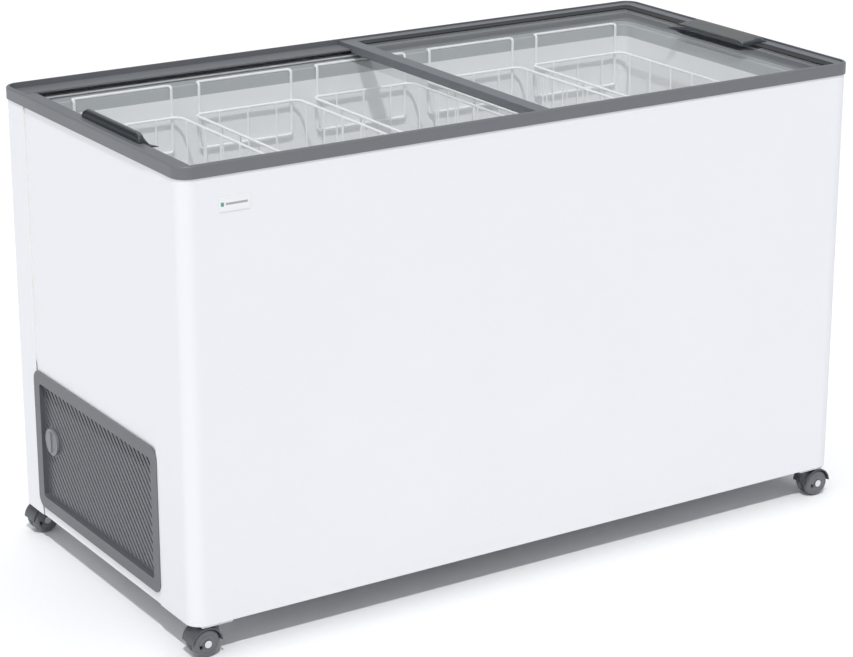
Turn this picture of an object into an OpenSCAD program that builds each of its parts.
// Sliding-glass-lid chest freezer on four twin-wheel castors.
// Millimetres. Origin on the floor under the middle of the cabinet, +X along its length,
// -Y towards the user, +Z up.

/* [Cabinet] */
// Overall length
length = 1350; // [1100:10:1700]
// Overall depth
depth = 660; // [600:5:760]
// Height of the cabinet from its base to the top of the frame
body_h = 771; // [680:1:900]
// Height of the castors under the base
castor_h = 58; // [56:0.5:70]
// Corner radius of the cabinet seen from above
corner_r = 28; // [24:1:34]
// Thickness of the foamed wall
wall = 60; // [56:1:80]
// Thickness of the outer sheet steel
sheet = 1; // [0.6:0.1:1.5]
// How far the wrapped panels sit inside the frame's outer face
panel_inset = 2; // [1.5:0.5:3]
// How far the flat side panels sit inside the wrapped ones
side_recess = 2; // [1:0.5:2.5]
// Width of the front panel's return on each side
front_return = 115; // [110:1:120]
// Width of the rear panel's return on each side
rear_return = 86; // [82:1:88]

/* [Top frame] */
// Height of the frame's outer face
rail_h = 21.5; // [20:0.5:24]
// Width of the lip round the lids
lip = 6; // [5:0.5:7]
// Radius along the lip's outer edge
lip_r = 4; // [2:0.5:4.5]
// Depth of the upper track below the lip
upper_drop = 10; // [9:0.5:12]
// Width of the rear and side tracks from the outer face
track_in = 50; // [46:1:52]
// Width of the front track from the outer face
front_track_in = 40; // [38:1:44]
// Floor of the lower track below the lip
lower_drop = 24; // [24:0.5:28]
// Thickness of the track's ledge and floor
track_t = 3; // [2.5:0.5:3]
// Outer wall of the lower track from the outer face
slot_out = 31; // [28:1:34]

/* [Lids] */
// Thickness of the lid glass
glass_t = 4; // [3:0.5:5]
// How far the upper lid's top sits below the lip
lid_drop = 2.5; // [2:0.5:3]
// Width of the bar where the two lids meet
bar_w = 27; // [22:1:32]
// Gap between a lid and the frame
lid_gap = 2; // [1:0.5:3]
// Length of each lid's handle
handle_l = 240; // [160:5:280]

/* [Baskets] */
// Gap between neighbouring baskets
basket_gap = 30; // [24:1:60]
// Depth of the wire body under its rim
basket_depth = 225; // [120:5:235]
// Thickness of the rim and hanger wire
rim_wire = 5; // [4:0.5:6]
// Thickness of the thinner wires
thin_wire = 3; // [2.5:0.5:3.5]
// How far a hanger's legs stand in from the basket's sides
hanger_in = 12.5; // [10:0.5:25]

/* [Machine compartment] */
// Length of the compressor compartment from the left end
machine_l = 250; // [240:1:300]
// Height of the compressor compartment
machine_h = 290; // [288:1:330]
// Width of the grille in the left side
grille_w = 472; // [440:2:480]
// Height of the grille
grille_h = 257; // [230:1:262]
// Width of the grille's bezel
bezel_w = 22; // [18:1:26]
// Pitch of the grille's slats
slat_pitch = 16; // [12:1:24]
// Diameter of the thermostat knob
knob_d = 48; // [40:1:54]

/* [Castors] */
// Diameter of a wheel
wheel_d = 50; // [44:1:52]
// Width of a wheel
wheel_w = 14; // [12:0.5:14]
// How far a wheel trails its swivel pin
trail = 18; // [14:1:20]

/* [Hidden] */
$fn = 48;
eps = 1;

// Cabinet box and levels
x0 = -length / 2;
x1 = length / 2;
y0 = -depth / 2;
y1 = depth / 2;
base_z = castor_h;
top_z = castor_h + body_h;
pan_t = 1.5;
foam_s = panel_inset + sheet;
side_s = panel_inset + side_recess;
seam_gap = 0.5;
front_seam = y0 + front_return;
rear_seam = y1 - rear_return;
tongue_s = 8;
rail_under = lower_drop + track_t;
frame_rail_z = top_z - rail_h;
foam_top = top_z - rail_under;

// Collar and liner
hook_drop = rail_under + 6;
collar_t = 3;
collar_drop = hook_drop + 21;
liner_t = 1;
liner_r = 20;
liner_s = wall - liner_t;
liner_top = top_z - collar_drop;
well_floor = base_z + wall;
hump_top = base_z + machine_h + wall;
well_x = x0 + machine_l + wall;
machine_x = x0 + machine_l;
machine_z = base_z + machine_h;

// Evaporator tube wound round the liner
coil_d = 8;
coil_rows = 5;
coil_first = collar_drop + 36;
coil_pitch = 62;
coil_s = liner_s - coil_d / 2 - 0.2;
groove_w = coil_d + 0.4;
header_x = [x0 + 110, x0 + 170];
header_r = 3;

// Lids, measured down from the top of the lip and in from the outer face
upper_bottom = upper_drop - 0.3;
lower_bottom = lower_drop - 0.2;
runner_h = 1.8;
lower_glass_z = top_z - lower_bottom + runner_h;
lower_glass_top = lower_glass_z + glass_t;
bar_left = -2;
bar_bottom = top_z - 16.5;
lid_s = lip + lid_gap;
lower_right = bar_left + 29;
end_rail_w = 14;
border_w = 33;
front_mouth = front_track_in + lid_gap;
rear_mouth = track_in + lid_gap;
upper_lip_t = 0.8;
upper_glass_z = top_z - upper_bottom + upper_lip_t;
upper_glass_top = upper_glass_z + glass_t;
upper_top = top_z - lid_drop;
rear_border = 20;
right_border = 20;
front_border = 5;
glass_bite = 6;
bead_w = 20;
bead_h = 1.2;
lower_handle_y = y0 + 182;
upper_handle_y = y0 + 190;

// Baskets, hanging from the collar's ledge; heights are from the rim's wire
basket_n = 5;
basket_slack = 15;
basket_shift = 11;
basket_pitch = (length - 2 * wall - basket_slack) / basket_n;
basket_w = basket_pitch - basket_gap;
rim_drop = 85;
rim_s = wall + 10;
rim_corner = 16;
weld = 0.5;
mid_wire = 4;
cross_n = 8;
long_n = 3;
mid_ring_z = -112;
low_ring_z = -basket_depth + 20;
hanger_low = -64;
hook_z = rim_drop - hook_drop + rim_wire / 2 + 0.4;
hook_s = track_in + 5;

// Grille in the left side
grille_y = y0 + 348;
grille_z = base_z + 18 + grille_h / 2;
grille_r = 20;
grille_depth = 20;
spigot_in = 14;
spigot_r = 8;
field_x = x0 + 9;
field_t = 3;
slat_angle = 46;
slit_w = 4;
slits = ceil((grille_w + grille_h * tan(slat_angle)) / 2 / slat_pitch) + 1;
knob_y = y0 + 530;
knob_z = base_z + 152;
knob_shaft_r = 3;

// Compartment fittings
fan_x = x0 + 128;
fan_z = base_z + 130;
fan_r = 76;
condenser_y = y0 + 70;
condenser_t = 60;
condenser_w = 180;
condenser_h = 200;
shroud_y = condenser_y + condenser_t;
comp_x = x0 + 128;
comp_y = y0 + 400;
comp_r = 72;
comp_foot = 22;
drier_x = machine_x - 30;
drier_y = y0 + 560;
gland_x = x0 + 90;
gland_z = base_z + 70;

// Castors
castor_x = length / 2 - 29 - trail;
castor_y = depth / 2 - 22;
plate_t = 2.8;
plate_l = 56;
plate_w = 40;
pin_r = 4;
fit = 0.05;
web = 9;
hood_t = 2.4;
wheel_r = wheel_d / 2;
castor_side = [[-1, -1], [1, -1], [-1, 1], [1, 1]];
screw_r = 2.5;

// ---------------------------------------------------------------- helpers

// Upright block between two corners with rounded upright edges
module block(xa, ya, xb, yb, r, za, zb) {
    translate([0, 0, za])
        linear_extrude(zb - za)
            union() {
                translate([xa + r, ya])
                    square([xb - xa - 2 * r, yb - ya]);
                translate([xa, ya + r])
                    square([xb - xa, yb - ya - 2 * r]);
                for (x = [xa + r, xb - r], y = [ya + r, yb - r])
                    translate([x, y])
                        circle(r);
            }
}

// The cabinet's outline set in by s, between two levels
module outline(s, za, zb, r = corner_r) {
    block(x0 + s, y0 + s, x1 - s, y1 - s, r, za, zb);
}

module box(xa, ya, za, xb, yb, zb) {
    translate([xa, ya, za])
        cube([xb - xa, yb - ya, zb - za]);
}

// Sweeps a profile round a rounded rectangle: x in the profile is the distance from the
// corner's centre and y is the height
module ring(xa, ya, xb, yb, r) {
    w = xb - xa - 2 * r;
    d = yb - ya - 2 * r;
    for (c = [[xb - r, ya + r, -90, w], [xb - r, yb - r, 0, d],
              [xa + r, yb - r, 90, w], [xa + r, ya + r, 180, d]])
        translate([c[0], c[1], 0])
            rotate(c[2]) {
                rotate_extrude(angle = 90)
                    children();
                rotate([90, 0, 0])
                    linear_extrude(c[3])
                        children();
            }
}

// A closed ring of round wire
module wire_ring(xa, ya, xb, yb, r, z, d) {
    translate([0, 0, z])
        ring(xa, ya, xb, yb, r)
            translate([r, 0])
                circle(d / 2);
}

module rod(a, b, r) {
    v = b - a;
    h = norm(v);
    translate(a)
        rotate([0, acos(v[2] / h), atan2(v[1], v[0])])
            cylinder(h = h, r = r);
}

// A tube through points, with a slightly larger brazed elbow at each bend
module pipe(p, r) {
    for (i = [0 : len(p) - 2])
        rod(p[i], p[i + 1], r);
    for (i = [1 : len(p) - 2])
        translate(p[i])
            sphere(r + 0.6);
}

// ---------------------------------------------------------------- cabinet

// Sheet between two insets of the outline
module skin(s) {
    difference() {
        outline(s, base_z, frame_rail_z, corner_r - s);
        outline(s + sheet, base_z - eps, frame_rail_z + eps, corner_r - s - sheet);
    }
}

module front_panel() color("white")
    difference() {
        skin(panel_inset);
        box(x0 - eps, front_seam, base_z - eps, x1 + eps, y1 + eps, top_z);
    }

module rear_panel() color("white")
    difference() {
        skin(panel_inset);
        box(x0 - eps, y0 - eps, base_z - eps, x1 + eps, rear_seam, top_z);
        for (i = [0 : 7])
            box(x0 + 120, y1 - panel_inset - 2 * sheet, base_z + 60 + 22 * i,
                machine_x - 20, y1, base_z + 68 + 22 * i);
        translate([gland_x, y1, gland_z])
            rotate([90, 0, 0])
                cylinder(h = 10, r = 8);
    }

// One flat side, in the recess between the two wrapped panels
module side_sheet(side) {
    xa = side < 0 ? x0 + side_s : x1 - side_s - sheet;
    box(xa, front_seam + seam_gap, base_z, xa + sheet, rear_seam - seam_gap,
        frame_rail_z);
}

// What the flat sides take out of whatever lies behind them
module side_recesses() {
    box(x0 - eps, front_seam, base_z - eps, x0 + side_s + sheet, rear_seam, top_z);
    box(x1 - side_s - sheet, front_seam, base_z - eps, x1 + eps, rear_seam, top_z);
}

module grille_block(s, r, xa, xb) {
    translate([xa, grille_y, grille_z])
        rotate([90, 0, 90])
            block(-grille_w / 2 + s, -grille_h / 2 + s, grille_w / 2 - s,
                grille_h / 2 - s, r, 0, xb - xa);
}

module left_side_panel() color("white")
    difference() {
        side_sheet(-1);
        grille_block(spigot_in - 0.5, spigot_r + 0.5, x0, x0 + 20);
    }

module right_side_panel() color("white")
    side_sheet(1);

module castor_screw_places() {
    for (c = castor_side, x = [-plate_l / 2 + 6, plate_l / 2 - 6],
         y = [-plate_w / 2 + 6, plate_w / 2 - 6])
        translate([c[0] * castor_x + x, c[1] * castor_y + y, base_z])
            children();
}

module base_pan() color("lightgray")
    difference() {
        outline(foam_s, base_z, base_z + pan_t, corner_r - foam_s);
        side_recesses();
        for (i = [0 : 6])
            box(x0 + 90, comp_y - 90 + 30 * i, base_z - eps, machine_x - 90,
                comp_y - 78 + 30 * i, base_z + 5);
        castor_screw_places()
            translate([0, 0, -eps])
                cylinder(h = 5, r = screw_r + 0.1);
    }

// The space inside the liner, grown by g
module cavity(g, top) {
    block(x0 + wall - g, y0 + wall - g, x1 - wall + g, y1 - wall + g, liner_r + g,
        hump_top - g, top);
    block(well_x - g, y0 + wall - g, x1 - wall + g, y1 - wall + g, liner_r + g,
        well_floor - g, top);
}

module coil_rows() {
    for (i = [0 : coil_rows - 1])
        translate([0, 0, top_z - coil_first - coil_pitch * i])
            children();
}

module insulation() color("khaki")
    difference() {
        outline(foam_s, base_z + pan_t, foam_top, corner_r - foam_s);
        side_recesses();
        // machine compartment
        box(x0 - eps, y0 - eps, base_z, machine_x + sheet, y1 + eps, machine_z + sheet);
        // collar and liner
        outline(track_in - collar_t, top_z - hook_drop - collar_t, top_z,
            liner_r + wall - track_in + collar_t);
        outline(wall - collar_t, liner_top, top_z, liner_r + collar_t);
        cavity(liner_t, top_z);
        // channels for the evaporator
        coil_rows()
            difference() {
                outline(liner_s - groove_w, -groove_w / 2, groove_w / 2,
                    liner_r + liner_t + groove_w);
                outline(liner_s + eps, -groove_w, groove_w, liner_r);
            }
        for (x = header_x)
            box(x - groove_w / 2, y1 - liner_s, machine_z,
                x + groove_w / 2, y1 - liner_s + groove_w, top_z - coil_first);
    }

module liner() color("whitesmoke")
    difference() {
        cavity(liner_t, liner_top);
        cavity(0, liner_top + eps);
    }

// Rings of tube round the liner, joined by a supply and a return header
module evaporator_coil() color("chocolate") {
    coil_rows()
        wire_ring(x0 + coil_s, y0 + coil_s, x1 - coil_s, y1 - coil_s, wall + liner_r - coil_s,
            0, coil_d);
    for (x = header_x)
        rod([x, y1 - coil_s, machine_z + sheet], [x, y1 - coil_s, top_z - coil_first],
            header_r);
}

module inner_collar() color("silver")
    difference() {
        union() {
            outline(track_in - collar_t, top_z - hook_drop - collar_t, foam_top,
                liner_r + wall - track_in + collar_t);
            outline(wall - collar_t, liner_top, top_z - hook_drop, liner_r + collar_t);
        }
        outline(track_in, top_z - hook_drop, top_z, liner_r + wall - track_in);
        outline(wall, liner_top - eps, top_z, liner_r);
    }

// ---------------------------------------------------------------- top frame

module lip_profile() {
    difference() {
        translate([corner_r - lip, -rail_h])
            square([lip, rail_h]);
        translate([corner_r - lip_r, -lip_r])
            difference() {
                square(lip_r + eps);
                circle(lip_r);
            }
    }
}

// Outer lip, upper track at the ledge, lower track under it and its floor
module top_frame() color("dimgray") {
    translate([0, 0, top_z])
        ring(x0, y0, x1, y1, corner_r)
            lip_profile();
    difference() {
        union() {
            outline(lip, frame_rail_z, top_z - upper_drop, corner_r - lip);
            outline(tongue_s, foam_top, frame_rail_z, corner_r - tongue_s);
        }
        block(x0 + lip, y0 + front_track_in, x1 - track_in + 4, y1 - track_in, 3,
            top_z - upper_drop - track_t, top_z);
        block(x0 + lip, y0 + slot_out, x1 - lip, y1 - slot_out, 3,
            top_z - lower_drop, top_z - upper_drop - track_t);
        outline(track_in, foam_top - eps, top_z - lower_drop,
            liner_r + wall - track_in);
    }
}

module badge() color("gainsboro")
    difference() {
        box(x0 + 69, y0 + panel_inset - 1.2, top_z - 81, x0 + 124, y0 + panel_inset,
            top_z - 58);
        box(x0 + 71, y0, top_z - 79, x0 + 122, y0 + panel_inset - 0.9, top_z - 60);
    }

// ---------------------------------------------------------------- lower lid

module lower_lid_glass() color("lightblue")
    box(x0 + lid_s, y0 + slot_out + lid_gap, lower_glass_z,
        lower_right, y1 - slot_out - lid_gap, lower_glass_top);

module lower_lid_end_rail() color("gray")
    difference() {
        box(lower_right - end_rail_w, y0 + slot_out + lid_gap, top_z - lower_bottom,
            lower_right + 1, y1 - slot_out - lid_gap, lower_glass_top + 0.8);
        box(x0, y0, lower_glass_z, lower_right, y1, lower_glass_top);
    }

// Strips that the lower glass slides on
module lower_lid_runners() color("white")
    for (y = [y0 + slot_out + lid_gap, y1 - track_in])
        box(x0 + lid_s, y, top_z - lower_bottom, lower_right - end_rail_w - 1,
            y + (y < 0 ? track_in - slot_out - lid_gap : track_in - slot_out - lid_gap),
            lower_glass_z);

module lower_lid_border() color("gray")
    difference() {
        block(x0 + lid_s, y0 + front_mouth, x0 + lid_s + border_w, y1 - rear_mouth, 3,
            lower_glass_top, top_z - upper_drop);
        box(x0 + lid_s + 5, y0 + front_mouth + 4, top_z - upper_drop - 1.5,
            x0 + lid_s + 9, y1 - rear_mouth - 4, top_z);
    }

// A handle's cross-section swept along Y with its ends cut slanting: the profile's x is
// across the handle and its y is up
module handle_bar(p, l, end) {
    intersection() {
        rotate([90, 0, 0])
            translate([0, 0, -l])
                linear_extrude(l)
                    polygon(p);
        rotate([90, 0, 90])
            translate([0, 0, -60])
                linear_extrude(160)
                    polygon([[0, -9], [l, -9], [l, 0], [l - end, 18], [end, 18], [0, 0]]);
    }
}

module lower_lid_handle() color("darkslategray")
    translate([x0 + 28, lower_handle_y, top_z - upper_drop])
        handle_bar([[0, 0], [13.2, 0], [13.2, -7.9], [20, -7.9], [29, 3], [30, 9],
            [25, 16], [14, 17], [4, 9]], handle_l, 34);

// ---------------------------------------------------------------- upper lid

module upper_lid_glass() color("lightblue")
    box(bar_left + 8, y0 + lid_s + front_border - 3, upper_glass_z,
        x1 - lid_s - right_border + glass_bite, y1 - lid_s - rear_border + glass_bite,
        upper_glass_top);

module upper_lid_frame() color("gray")
    difference() {
        block(bar_left - bar_w, y0 + lid_s, x1 - lid_s, y1 - lid_s, corner_r - lid_s,
            top_z - upper_bottom, upper_top);
        box(bar_left - bar_w - eps, y0, top_z - upper_bottom - eps, bar_left + bar_w,
            y1, upper_top + eps);
        block(bar_left, y0 + lid_s + front_border, x1 - lid_s - right_border,
            y1 - lid_s - rear_border, 8, top_z - upper_bottom - eps, upper_top + eps);
        box(bar_left, y0 + lid_s + front_border - 3, upper_glass_z,
            x1 - lid_s - right_border + glass_bite,
            y1 - lid_s - rear_border + glass_bite, upper_glass_top);
        box(bar_left, y0, upper_glass_top, x1 - lid_s - right_border,
            y0 + lid_s + front_border, top_z);
    }

module upper_lid_centre_bar() color("dimgray")
    difference() {
        union() {
            box(bar_left, y0 + lid_s, top_z - upper_bottom, bar_left + bar_w,
                y1 - lid_s, upper_top);
            box(bar_left, y0 + front_mouth, bar_bottom, bar_left + bar_w - 6,
                y1 - rear_mouth, top_z - upper_bottom);
        }
        box(bar_left + 8, y0, upper_glass_z, bar_left + bar_w + eps, y1,
            upper_glass_top);
        box(bar_left + 4, y0 + front_mouth - eps, bar_bottom - eps, bar_left + 8,
            y1, bar_bottom + 3);
    }

module upper_lid_brush_seal() color("black")
    box(bar_left + 4, y0 + front_mouth, lower_glass_top + 0.3, bar_left + 8,
        y1 - rear_mouth, bar_bottom + 3);

// Rubber bead on the glass along the rear and right borders
module upper_lid_glazing_bead() color("black")
    difference() {
        block(bar_left + bar_w + 6, y0 + lid_s + front_border, x1 - lid_s - right_border,
            y1 - lid_s - rear_border, 8, upper_glass_top, upper_glass_top + 1.2);
        block(bar_left, y0 - 40, x1 - lid_s - right_border - bead_w,
            y1 - lid_s - rear_border - bead_w, 8, upper_glass_top - eps, top_z);
    }

// A broad grip that slopes from the glass up over the right border
module upper_lid_handle() color("darkslategray") {
    w = 84;
    bead_x = w - right_border - bead_w - 0.5;
    border_x = w - right_border - 0.1;
    border_top = upper_top - upper_glass_top;
    translate([x1 - lid_s - w, upper_handle_y, upper_glass_top])
        handle_bar([[0, 0], [bead_x, 0], [bead_x, bead_h + 0.1], [border_x, bead_h + 0.1],
            [border_x, border_top], [w - 1, border_top], [w - 1, 6], [60, 9], [8, 11.5],
            [1, 9]], handle_l, 44);
}

// ---------------------------------------------------------------- baskets

// A bend of wire at p, from direction u to direction v, both unit vectors
module bend(p, u, v, r, d) {
    n = cross(u, v);
    c = p - u * r + v * r;
    multmatrix([[-v[0], u[0], n[0], c[0]], [-v[1], u[1], n[1], c[1]],
                [-v[2], u[2], n[2], c[2]], [0, 0, 0, 1]])
        rotate_extrude(angle = 90)
            translate([r, 0])
                circle(d / 2);
}

// Wire bent square at each point, with rounded bends, open or closed
module bent_wire(p, r, d, closed = false) {
    n = len(p);
    unit = [for (i = [0 : n - 1]) let (v = p[(i + 1) % n] - p[i]) v / norm(v)];
    last = closed ? n - 1 : n - 2;
    for (i = [0 : last])
        rod(p[i] + unit[i] * (closed || i > 0 ? r : 0),
            p[(i + 1) % n] - unit[i] * (closed || i < last ? r : 0), d / 2);
    for (i = [closed ? 0 : 1 : last])
        bend(p[i], unit[(i + n - 1) % n], unit[i], r, d);
}

module wire_frame(x, y, z, r, d) {
    bent_wire([[-x, -y, z], [x, -y, z], [x, y, z], [-x, y, z]], r, d, true);
}

// One basket about the middle of its rim
module basket_body() {
    rim_x = basket_w / 2;
    rim_y = depth / 2 - rim_s;
    in = (rim_wire + thin_wire) / 2 - weld;
    ring_in = in - (mid_wire + thin_wire) / 2 + weld;
    u_x = rim_x - in;
    u_y = rim_y - in;
    low = -basket_depth;
    wire_frame(rim_x, rim_y, 0, rim_corner, rim_wire);
    for (z = [mid_ring_z, low_ring_z])
        wire_frame(rim_x - ring_in, rim_y - ring_in, z, rim_corner, mid_wire);
    for (i = [0 : cross_n - 1]) {
        y = (i / (cross_n - 1) - 0.5) * 2 * (u_y - 30);
        bent_wire([[-u_x, y, 0], [-u_x, y, low], [u_x, y, low], [u_x, y, 0]], 12,
            thin_wire);
    }
    for (i = [0 : long_n - 1]) {
        x = (i / (long_n - 1) - 0.5) * 2 * (u_x - 45);
        z = low - thin_wire + weld;
        bent_wire([[x, -u_y, 0], [x, -u_y, z], [x, u_y, z], [x, u_y, 0]], 12, thin_wire);
    }
    leg_x = rim_x - hanger_in;
    leg_y = rim_y + rim_wire - weld;
    hook_y = depth / 2 - hook_s;
    for (s = [-1, 1]) {
        bent_wire([[0, s * leg_y, hanger_low], [leg_x, s * leg_y, hanger_low],
            [leg_x, s * leg_y, hook_z], [leg_x, s * hook_y, hook_z], [0, s * hook_y, hook_z]],
            5, rim_wire);
        bent_wire([[0, s * leg_y, hanger_low], [-leg_x, s * leg_y, hanger_low],
            [-leg_x, s * leg_y, hook_z], [-leg_x, s * hook_y, hook_z], [0, s * hook_y, hook_z]],
            5, rim_wire);
    }
}

module basket(k) color("white")
    translate([(k - (basket_n + 1) / 2) * basket_pitch + basket_shift, 0, top_z - rim_drop])
        basket_body();

// ---------------------------------------------------------------- machine compartment

module machine_bulkhead() color("silver")
    difference() {
        box(x0 + foam_s, y0 + foam_s, base_z + pan_t, machine_x + sheet, y1 - foam_s,
            machine_z + sheet);
        box(x0, y0, base_z, machine_x, y1, machine_z);
        side_recesses();
        for (x = header_x)
            translate([x, y1 - coil_s, machine_z - eps])
                cylinder(h = 5, r = header_r + 0.6);
        for (sx = [-1, 1], sy = [-1, 1])
            box(x0, sy < 0 ? y0 : y1 - corner_r, machine_z - eps, x0 + corner_r,
                sy < 0 ? y0 + corner_r : y1, machine_z + 5);
    }

module slat_field() {
    w = grille_w / 2 - bezel_w;
    h = grille_h / 2 - bezel_w;
    margin = 6;
    difference() {
        union() {
            difference() {
                square([2 * w, 2 * h], center = true);
                intersection() {
                    square([2 * (w - margin), 2 * (h - margin)], center = true);
                    for (i = [-slits : slits])
                        translate([i * slat_pitch, 0])
                            rotate(-slat_angle)
                                square([slit_w, 4 * h], center = true);
                }
            }
            translate([knob_y - grille_y, knob_z - grille_z])
                circle(knob_d / 2 + 4);
        }
        translate([knob_y - grille_y, knob_z - grille_z])
            circle(knob_shaft_r + 0.5);
    }
}

module vent_grille() color("dimgray") {
    difference() {
        union() {
            grille_block(0, grille_r, x0 + 0.5, x0 + panel_inset);
            grille_block(spigot_in, spigot_r, x0 + panel_inset, x0 + grille_depth);
        }
        grille_block(bezel_w, 6, x0 - eps, x0 + grille_depth + eps);
        grille_screw_places()
            cylinder(h = 20, r = 2.1, center = true);
    }
    translate([field_x, grille_y, grille_z])
        rotate([90, 0, 90])
            linear_extrude(field_t)
                slat_field();
}

module grille_screw_places() {
    for (y = [-1, 1], z = [-1, 1])
        translate([x0 + 0.5, grille_y + y * (grille_w / 2 - 7), grille_z + z * 60])
            rotate([0, 90, 0])
                children();
}

module grille_screws() color("silver")
    grille_screw_places()
        cylinder(h = 1.4, r = 2);

module thermostat_knob() color("dimgray")
    translate([x0 + 1, knob_y, knob_z])
        rotate([0, 90, 0])
            difference() {
                union() {
                    translate([0, 0, 3])
                        cylinder(h = 4.6, r = knob_d / 2);
                    cylinder(h = 7, r = knob_d / 2 - 6);
                    cylinder(h = field_x + field_t - x0 + 6, r = knob_shaft_r);
                }
                for (s = [-1, 1])
                    translate([-knob_d / 2, s < 0 ? -knob_d : 4, -eps])
                        cube([knob_d, knob_d - 4, 2.5 + eps]);
            }

module thermostat_body() color("white")
    difference() {
        box(field_x + field_t, knob_y - 20, knob_z - 24, field_x + field_t + 30,
            knob_y + 20, knob_z + 24);
        translate([field_x, knob_y, knob_z])
            rotate([0, 90, 0])
                cylinder(h = field_t + 10, r = knob_shaft_r + fit);
    }

module comp_feet_places() {
    for (x = [-72, 72], y = [-62, 62])
        translate([comp_x + x, comp_y + y, base_z + pan_t])
            children();
}

module compressor_feet() color("black")
    comp_feet_places()
        difference() {
            cylinder(h = comp_foot, r = 12);
            translate([0, 0, comp_foot / 2 - 2])
                difference() {
                    cylinder(h = 4, r = 13);
                    cylinder(h = 4, r = 9.5);
                }
        }

module compressor() color("dimgray") {
    z = base_z + pan_t + comp_foot;
    box(comp_x - 88, comp_y - 76, z, comp_x + 88, comp_y + 76, z + 3);
    translate([comp_x, comp_y, z + 3])
        intersection() {
            cylinder(h = 176, r = comp_r);
            translate([0, 0, 66])
                sphere(110);
        }
    translate([comp_x, comp_y, z + 95])
        cylinder(h = 5, r = comp_r + 4);
    translate([comp_x, comp_y - 20, base_z + 150])
        rotate([0, 90, 0])
            cylinder(h = comp_r + 8, r = 6);
    translate([comp_x, comp_y, base_z + 100])
        rotate([-90, 0, 0])
            cylinder(h = comp_r + 8, r = 6);
}

module compressor_relay_box() color("black")
    difference() {
        box(comp_x - comp_r - 26, comp_y - 30, base_z + 50, comp_x - comp_r + 6,
            comp_y + 30, base_z + 104);
        translate([comp_x, comp_y, base_z])
            cylinder(h = 300, r = comp_r + 0.3);
    }

module condenser() color("darkgray") {
    za = fan_z - condenser_h / 2;
    difference() {
        box(fan_x - condenser_w / 2, condenser_y, za, fan_x + condenser_w / 2,
            condenser_y + condenser_t, za + condenser_h);
        for (i = [0 : 17], y = [condenser_y - eps, condenser_y + condenser_t - 9])
            box(fan_x - condenser_w / 2 + 12 + i * 9, y, za + 8,
                fan_x - condenser_w / 2 + 15 + i * 9, y + 10, za + condenser_h - 8);
    }
    for (s = [-1, 1], i = [0 : 2])
        translate([fan_x + s * condenser_w / 2, condenser_y + condenser_t / 2,
                   za + (s < 0 ? 40 : 60) + 45 * i])
            rotate([90, 0, 0])
                rotate(s < 0 ? 90 : -90)
                    rotate_extrude(angle = 180)
                        translate([10, 0])
                            circle(4);
    for (x = [-70, 70])
        box(fan_x + x - 8, condenser_y + 10, base_z + pan_t, fan_x + x + 8,
            condenser_y + condenser_t - 10, za);
}

module fan_shroud() color("black")
    difference() {
        union() {
            box(fan_x - 95, shroud_y, fan_z - 95, fan_x + 95, shroud_y + 3, fan_z + 95);
            translate([fan_x, shroud_y, fan_z])
                rotate([-90, 0, 0])
                    cylinder(h = 20, r = fan_r + 4);
        }
        translate([fan_x, shroud_y - eps, fan_z])
            rotate([-90, 0, 0])
                cylinder(h = 30, r = fan_r + 2);
    }

module fan_blade() color("gray")
    translate([fan_x, shroud_y + 4, fan_z])
        rotate([-90, 0, 0])
            difference() {
                union() {
                    cylinder(h = 22, r = 20);
                    intersection() {
                        cylinder(h = 20, r = fan_r);
                        for (i = [0 : 4])
                            rotate(i * 72)
                                translate([15, 0, 10])
                                    rotate([32, 0, 0])
                                        translate([0, -22, -0.8])
                                            cube([fan_r, 44, 1.6]);
                    }
                }
                translate([0, 0, 4])
                    cylinder(h = 30, r = knob_shaft_r + fit);
            }

module fan_motor() color("silver")
    translate([fan_x, shroud_y, fan_z])
        rotate([-90, 0, 0]) {
            translate([0, 0, 34])
                cylinder(h = 40, r = 28);
            translate([0, 0, 8.5])
                cylinder(h = 30, r = knob_shaft_r);
            for (a = [45 : 90 : 315])
                rotate(a) {
                    translate([20, -4, 48])
                        cube([74, 8, 3]);
                    translate([86, -4, 3])
                        cube([8, 8, 48]);
                }
        }

module filter_drier() color("peru")
    translate([drier_x, drier_y, base_z + 80]) {
        translate([0, 0, 10])
            cylinder(h = 90, r = 10);
        cylinder(h = 10, r1 = 4, r2 = 10);
        translate([0, 0, 100])
            cylinder(h = 10, r1 = 10, r2 = 3);
    }

// Discharge, liquid, capillary and suction lines
module refrigerant_pipes() color("chocolate") {
    cx = fan_x + condenser_w / 2;
    cy = condenser_y + condenser_t / 2;
    hy = y1 - coil_s;
    b = base_z;
    pipe([[comp_x + comp_r + 8, comp_y - 20, b + 150], [cx + 14, comp_y - 20, b + 150],
        [cx + 14, comp_y - 20, b + 214], [cx + 14, cy, b + 214], [cx, cy, b + 214]], 4);
    pipe([[cx, cy, b + 44], [cx + 20, cy, b + 44], [cx + 20, drier_y, b + 44],
        [drier_x, drier_y, b + 44], [drier_x, drier_y, b + 80]], 3);
    pipe([[drier_x, drier_y, b + 190], [drier_x, drier_y, b + 262],
        [header_x[0], drier_y, b + 262], [header_x[0], hy, b + 262],
        [header_x[0], hy, machine_z + sheet]], 2);
    pipe([[comp_x, comp_y + comp_r + 8, b + 100], [comp_x, comp_y + 120, b + 100],
        [comp_x, comp_y + 120, b + 235], [header_x[1], comp_y + 120, b + 235],
        [header_x[1], hy, b + 235], [header_x[1], hy, machine_z + sheet]], 3);
}

// Bushing for the supply lead in the rear panel
module cable_gland() color("black")
    translate([gland_x, y1 - panel_inset, gland_z])
        rotate([90, 0, 0])
            difference() {
                union() {
                    translate([0, 0, -1.4])
                        cylinder(h = 1.4, r = 12);
                    cylinder(h = sheet, r = 7.9);
                    translate([0, 0, sheet])
                        cylinder(h = 3, r = 11);
                }
                translate([0, 0, -5])
                    cylinder(h = 20, r = 4.5);
            }

// ---------------------------------------------------------------- castors

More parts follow.
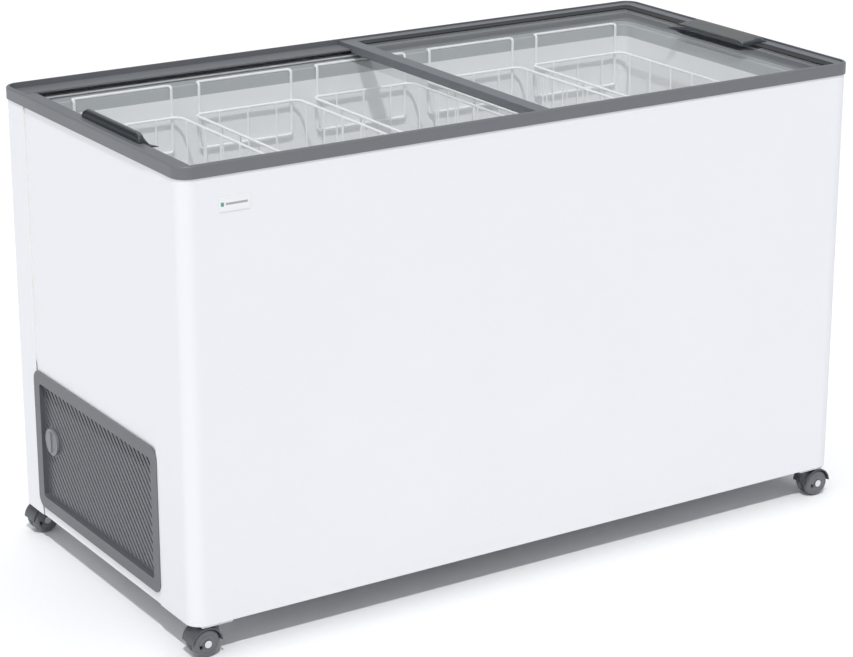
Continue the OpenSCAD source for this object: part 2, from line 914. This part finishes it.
module at_castor(k) {
    c = castor_side[k];
    translate([c[0] * castor_x, c[1] * castor_y, 0])
        rotate(c[0] < 0 ? 0 : 180)
            children();
}

module castor_plates() color("silver")
    difference() {
        for (k = [0 : 3])
            at_castor(k) {
                translate([-plate_l / 2, -plate_w / 2, base_z - plate_t])
                    cube([plate_l, plate_w, plate_t]);
            }
        castor_screw_places() {
            translate([0, 0, -plate_t - eps])
                cylinder(h = 1.2 + eps, r = 4.6);
            translate([0, 0, -plate_t])
                cylinder(h = 5, r = screw_r + 0.1);
        }
    }

module castor_pins() color("silver")
    for (k = [0 : 3])
        at_castor(k)
            translate([0, 0, base_z - 20])
                cylinder(h = 20 - plate_t, r = pin_r);

module castor_screws() color("silver")
    castor_screw_places() {
        translate([0, 0, -plate_t + 0.1])
            cylinder(h = 1.1, r = 4.5);
        translate([0, 0, 1.2 - plate_t])
            cylinder(h = plate_t - 1.2 + pan_t, r = screw_r);
    }

module on_axle() {
    translate([-trail, 0, wheel_r])
        rotate([90, 0, 0])
            children();
}

module castor_hood(k) color("dimgray")
    at_castor(k) {
        half = web / 2 + wheel_w + 0.5;
        top = base_z - plate_t - 0.4;
        difference() {
            union() {
                intersection() {
                    on_axle()
                        cylinder(h = 2 * half, r = wheel_r + hood_t + 0.6, center = true);
                    box(-80, -40, wheel_r + 2, 40, 40, top);
                }
                on_axle()
                    cylinder(h = web, r = wheel_r - 4, center = true);
                translate([0, 0, wheel_r + 2])
                    cylinder(h = top - wheel_r - 2, r = 11);
            }
            for (s = [-1, 1])
                on_axle()
                    translate([0, 0, s * (web / 2 + 0.2 + wheel_w)])
                        cylinder(h = 2 * wheel_w, r = wheel_r + 0.6, center = true);
            on_axle()
                cylinder(h = 40, r = pin_r, center = true);
            translate([0, 0, base_z - 20.4])
                cylinder(h = 40, r = pin_r + fit);
        }
    }

module castor_axle(k) color("silver")
    at_castor(k)
        on_axle() {
            half = web / 2 + wheel_w + 0.8;
            cylinder(h = 2 * half, r = pin_r, center = true);
            for (s = [-1, 1])
                translate([0, 0, s * (half + 0.4)])
                    cylinder(h = 0.8, r = 6.5, center = true);
        }

module wheel_profile() {
    difference() {
        translate([pin_r + fit, 0])
            square([wheel_r - pin_r - fit, wheel_w]);
        translate([9, wheel_w - 1.5])
            square([wheel_r - 15, 3]);
        for (y = [0, wheel_w])
            translate([wheel_r - 3, y == 0 ? 3 : wheel_w - 3])
                difference() {
                    translate([0, y == 0 ? -4 : 0])
                        square(4);
                    circle(3);
                }
    }
}

module castor_wheels(k) color("darkgray")
    at_castor(k)
        for (s = [0, 1])
            on_axle()
                mirror([0, 0, s])
                    translate([0, 0, web / 2 + 0.5])
                        rotate_extrude()
                            wheel_profile();

module basket_1() basket(1);
module basket_2() basket(2);
module basket_3() basket(3);
module basket_4() basket(4);
module basket_5() basket(5);
module castor_hood_fl() castor_hood(0);
module castor_hood_fr() castor_hood(1);
module castor_hood_rl() castor_hood(2);
module castor_hood_rr() castor_hood(3);
module castor_axle_fl() castor_axle(0);
module castor_axle_fr() castor_axle(1);
module castor_axle_rl() castor_axle(2);
module castor_axle_rr() castor_axle(3);
module castor_wheels_fl() castor_wheels(0);
module castor_wheels_fr() castor_wheels(1);
module castor_wheels_rl() castor_wheels(2);
module castor_wheels_rr() castor_wheels(3);

front_panel();
rear_panel();
left_side_panel();
right_side_panel();
base_pan();
insulation();
liner();
evaporator_coil();
inner_collar();
top_frame();
badge();
machine_bulkhead();
lower_lid_glass();
lower_lid_end_rail();
lower_lid_handle();
lower_lid_border();
lower_lid_runners();
upper_lid_glass();
upper_lid_frame();
upper_lid_centre_bar();
upper_lid_handle();
upper_lid_glazing_bead();
upper_lid_brush_seal();
basket_1();
basket_2();
basket_3();
basket_4();
basket_5();
vent_grille();
grille_screws();
thermostat_knob();
thermostat_body();
compressor();
compressor_feet();
compressor_relay_box();
condenser();
fan_shroud();
fan_motor();
fan_blade();
filter_drier();
refrigerant_pipes();
cable_gland();
castor_plates();
castor_pins();
castor_screws();
castor_hood_fl();
castor_hood_fr();
castor_hood_rl();
castor_hood_rr();
castor_axle_fl();
castor_axle_fr();
castor_axle_rl();
castor_axle_rr();
castor_wheels_fl();
castor_wheels_fr();
castor_wheels_rl();
castor_wheels_rr();
